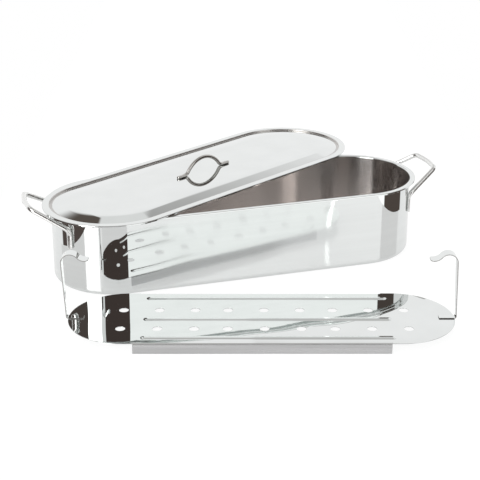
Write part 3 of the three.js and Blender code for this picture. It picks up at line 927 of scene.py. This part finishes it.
class FISH_OT_hooks(Operator):
    """Makes the two rack hooks: bent strips with a foot, an upright leg and a crest turned inwards"""

    bl_idname = "fish_poacher.make_hooks"
    bl_label = "Make Hooks"

    def execute(self, context):
        sizes, rack, steel = settings().hook, settings().rack, settings().steel
        strip_steel = steel_material("hook strip", steel.bright, steel.mirror)
        cut_steel = steel_material("hook edge", steel.cut, steel.cut_roughness)
        finishes = [strip_steel, cut_steel]
        for side, turn, lean in (("left", math.pi, sizes.lean), ("right", 0, -sizes.lean)):
            line, widths = self.tip_rows(self.side_line(sizes, rack, lean), sizes, rack.height)
            bm = strip_mesh(line, widths)
            place = rack_place() @ Matrix.Rotation(turn, 4, "Z")
            add_piece(f"rack_hook_{side}", bm, "rack", finishes, sizes.sheet, sizes.edge,
                      place, rim=1)
        return {"FINISHED"}

    @staticmethod
    def side_line(sizes, rack, lean):
        """The strip seen from its side: foot, leg, crest and upturned tail."""
        half = sizes.sheet / 2
        end = rack_straight() + rack_radius()
        foot_line = rack.height + settings().seat_gap + half
        leg = end + sizes.overhang
        top = Vector((leg + lean, 0, rack.height + sizes.height - half - sizes.crest))
        line = bent_line([
            (Vector((end - sizes.foot_length, 0, foot_line)), 0),
            (Vector((leg, 0, foot_line)), sizes.foot_bend),
            (top, 0),
        ], STRIP_BEND_STEP)
        leg_start = line[-2]
        line[-1:] = [leg_start.lerp(top, k / LEG_STEPS) for k in range(1, LEG_STEPS + 1)]

        def round_about(centre, radius, first, turn):
            steps = math.ceil(abs(turn) / STRIP_BEND_STEP)
            for k in range(1, steps + 1):
                at = first + turn * k / steps
                line.append(centre + Vector((math.cos(at), 0, math.sin(at))) * radius)

        crest = top - Vector((sizes.crest, 0, 0))
        round_about(crest, sizes.crest, 0, sizes.crest_turn)
        out = Vector((math.cos(sizes.crest_turn), 0, math.sin(sizes.crest_turn)))
        tail = crest + out * (sizes.crest + sizes.tail)
        round_about(tail, sizes.tail, sizes.crest_turn + math.pi, -sizes.tail_turn)
        ahead = (line[-1] - line[-2]).normalized()
        line.append(line[-1] + ahead * sizes.tail_end)
        return line

    @staticmethod
    def tip_rows(line, sizes, foot_height):
        """Adds rows near the tip and gives each row its width, so that the strip ends rounded."""
        crest_bottom = foot_height + sizes.height - sizes.sheet / 2 - sizes.crest
        total = sum((second - first).length for first, second in zip(line, line[1:]))
        marks = [total - mark for mark in rounding(sizes.tip, TIP_STEPS)]
        rows = marked_line(line, marks, MERGE)
        widths = []
        for point, mark in rows:
            rise = smooth((point.z - foot_height) / (crest_bottom - foot_height))
            width = sizes.foot_width + (sizes.grip_width - sizes.foot_width) * rise
            short = max(0, mark - (total - sizes.tip))
            widths.append(width - 2 * (sizes.tip - math.sqrt(max(0, sizes.tip**2 - short**2))))
        return [point for point, _ in rows], widths


# Stage


class Surround(NamedTuple):
    """A part of the studio that the steel reflects, with its angles in degrees. middle is an azimuth,
    clockwise from +Y, and moves on by lean for each degree of elevation. low and high are elevations.
    soft is the softness of the sides, fade that of the top and bottom. light is colour times strength."""

    middle: float
    half_width: float
    low: float
    high: float
    soft: float
    fade: float
    lean: float
    light: tuple


PALE_WALLS = (0.95, 0.95, 0.95)
# Middle, half width, low, high, soft, fade, lean, light
STUDIO = {
    "ceiling": Surround(0, 180, 57, 91, 6, 6, 0, (0.45, 0.44, 0.43)),
    "wall over the backdrop": Surround(10, 42, 29, 57, 3, 3, 0, (0.83, 0.835, 0.83)),
    "backdrop": Surround(10, 42, -91, 29, 3, 3, 0, (1, 1, 1)),
    "dark patch over the backdrop": Surround(4.7, 3.2, 28.5, 44, 0.35, 3.5, 0, (0.11, 0.092, 0.08)),
    "grey patch over the backdrop": Surround(22.6, 5, 29.2, 44, 0.35, 3.5, 0, (0.44, 0.435, 0.43)),
    "front right softbox": Surround(150.4, 18.3, -70, 55, 0.3, 0.3, 0, (1.28, 1.29, 1.28)),
    "room behind the camera": Surround(191.5, 22.8, -40, 40, 0.3, 0.3, 0, (0.068, 0.052, 0.047)),
    "front left softbox": Surround(232, 13.5, -70, 50, 1, 1, 0.13, (3, 3, 2.98)),
    "top of the left softbox": Surround(232, 13.5, 3, 50, 1, 2, 0.13, (4, 4, 3.95)),
    "room beyond the softbox": Surround(275, 29.5, -70, 42, 1.5, 1.5, 0.13, (0.09, 0.072, 0.065)),
    "room on the right": Surround(112, 22, -60, 45, 1, 1, 0.1, (0.085, 0.068, 0.06)),
}


def ramp_node(tree, value, start, end):
    """Rises softly from 0 at start to 1 at end, which may lie before start."""
    if start < end:
        return range_node(tree, value, (start, end), (0, 1), "SMOOTHSTEP")
    return range_node(tree, value, (end, start), (1, 0), "SMOOTHSTEP")


def surround_nodes(tree):
    """Lays every part of the studio over the pale walls by the direction it is seen in."""
    place = add_node(tree, "TexCoord", {}).outputs["Generated"]
    way = add_node(tree, "SeparateXYZ", {"Vector": place})
    azimuth = math_node(tree, "ARCTAN2", way.outputs["X"], way.outputs["Y"])
    elevation = math_node(tree, "ARCSINE", way.outputs["Z"])
    light = add_node(tree, "RGB", {}, label="pale walls").outputs["Color"]
    light.default_value = (*PALE_WALLS, 1)
    for name, part in STUDIO.items():
        middle, half_width, low, high, soft, fade = (math.radians(value) for value in part[:6])
        leaning = math_node(tree, "MULTIPLY_ADD", elevation, part.lean, middle)
        aside = math_node(tree, "WRAP", math_node(tree, "SUBTRACT", azimuth, leaning), math.pi, -math.pi)
        aside = math_node(tree, "ABSOLUTE", aside)
        across = ramp_node(tree, aside, half_width + soft, half_width - soft)
        over_low = ramp_node(tree, elevation, low - fade, low + fade)
        under_high = ramp_node(tree, elevation, high + fade, high - fade)
        up = math_node(tree, "MULTIPLY", over_low, under_high)
        covered = math_node(tree, "MULTIPLY", across, up)
        light = mix_node(tree, covered, light, (*part.light, 1), name)
    return light


def mix_for_camera(tree, others, camera, output):
    """Shows one shader to the camera and another to every other ray."""
    seen = add_node(tree, "LightPath", {}).outputs["Is Camera Ray"]
    mix = add_node(tree, "MixShader", {"Fac": seen, 1: others, 2: camera})
    feed(tree.nodes[output], {"Surface": mix.outputs["Shader"]})


def add_world():
    """White to the camera, and the pale studio with its darker parts to everything else."""
    world = bpy.data.worlds.new("studio")
    bpy.context.scene.world = world
    world.use_nodes = True
    tree = world.node_tree
    room = tree.nodes["Background"]
    feed(room, {"Strength": settings().studio.ambient, "Color": surround_nodes(tree)})
    seen = add_node(tree, "Background", {"Strength": 1, "Color": WHITE})
    mix_for_camera(tree, room.outputs["Background"], seen.outputs["Background"], "World Output")


def table_material():
    """The table: white to the camera, less the object's shadow, and glossy white to the steel."""
    look = settings().table
    material = bpy.data.materials.new("table")
    material.use_nodes = True
    tree = material.node_tree
    glossy = feed(tree.nodes["Principled BSDF"], {
        "Base Color": (*look.pale, 1),
        "Emission Color": WHITE,
        "Emission Strength": look.glow,
        "Roughness": look.roughness,
        "IOR": look.ior,
    })
    lit = add_node(tree, "BsdfDiffuse", {"Color": (*look.seen_pale, 1)}).outputs["BSDF"]
    glow = add_node(tree, "Emission", {"Color": WHITE, "Strength": look.seen_glow}).outputs["Emission"]
    seen = add_node(tree, "AddShader", {0: lit, 1: glow})
    mix_for_camera(tree, glossy.outputs["BSDF"], seen.outputs["Shader"], "Material Output")
    return material


def add_floor(turn):
    """Lays the table, turned with the camera."""
    left, right, front, back = TABLE
    bm = bmesh.new()
    bmesh.ops.create_grid(bm, x_segments=1, y_segments=1, size=0.5)
    bmesh.ops.scale(bm, verts=bm.verts, vec=(right - left, back - front, 1))
    bmesh.ops.translate(bm, verts=bm.verts, vec=((left + right) / 2, (front + back) / 2, 0))
    bmesh.ops.rotate(bm, verts=bm.verts, cent=(0, 0, 0), matrix=Matrix.Rotation(turn, 3, "Z"))
    floor = add_object("floor", made_mesh("floor", bm))
    floor.data.materials.append(table_material())


def add_softbox(studio):
    """Hangs the softbox over the object. It lights the steel, which doesn't reflect its shape."""
    light = bpy.data.lights.new("overhead softbox", "AREA")
    light.shape = "RECTANGLE"
    light.size = studio.softbox_width
    light.size_y = studio.softbox_depth
    light.energy = studio.softbox_power
    softbox = add_object("overhead softbox", light)
    softbox.location = (0, 0, studio.softbox_height)
    softbox.visible_glossy = False


def add_camera(studio):
    """Sets up the camera at the photograph's viewing angle."""
    camera = bpy.data.cameras.new("camera")
    camera.lens = studio.lens
    camera.sensor_width = SENSOR_WIDTH
    camera.clip_start, camera.clip_end = CAMERA_RANGE
    holder = add_object("camera", camera)
    holder.location = studio.camera
    holder.rotation_euler = (math.pi / 2 - studio.camera_pitch, 0, -studio.camera_yaw)
    bpy.context.scene.camera = holder


class FISH_OT_stage(Operator):
    """Makes the pale floor, the studio round it, the overhead softbox and the camera"""

    bl_idname = "fish_poacher.make_stage"
    bl_label = "Make Stage"

    def execute(self, context):
        studio = settings().studio
        context.scene.view_settings.view_transform = "Standard"
        context.scene.cycles.glossy_bounces = GLOSSY_BOUNCES
        add_floor(-studio.camera_yaw)
        add_world()
        add_softbox(studio)
        add_camera(studio)
        return {"FINISHED"}


class FISH_PT_panel(Panel):
    """Lists the steps that build the fish poacher"""

    bl_idname = "FISH_PT_panel"
    bl_label = "Fish Poacher"
    bl_space_type = "VIEW_3D"
    bl_region_type = "UI"
    bl_category = "Fish Poacher"

    def draw(self, context):
        for operator in OPERATORS:
            self.layout.operator(operator.bl_idname)


OPERATORS = (
    FISH_OT_pot,
    FISH_OT_pot_handles,
    FISH_OT_lid,
    FISH_OT_lid_handle,
    FISH_OT_rack,
    FISH_OT_hooks,
    FISH_OT_stage,
)
CLASSES = (
    PotSizes, HandleSizes, LidSizes, GripSizes, RackSizes, HookSizes, SteelLook, TableLook,
    StudioSettings, PoacherSettings, *OPERATORS, FISH_PT_panel,
)


def register():
    for cls in CLASSES:
        bpy.utils.register_class(cls)
    bpy.types.Scene.fish_poacher = PointerProperty(type=PoacherSettings)


def unregister():
    del bpy.types.Scene.fish_poacher
    for cls in reversed(CLASSES):
        bpy.utils.unregister_class(cls)


def main():
    register()
    bpy.ops.fish_poacher.make_pot()
    bpy.ops.fish_poacher.make_pot_handles()
    bpy.ops.fish_poacher.make_lid()
    bpy.ops.fish_poacher.make_lid_handle()
    bpy.ops.fish_poacher.make_rack()
    bpy.ops.fish_poacher.make_hooks()
    bpy.ops.fish_poacher.make_stage()


if __name__ == "__main__":
    main()
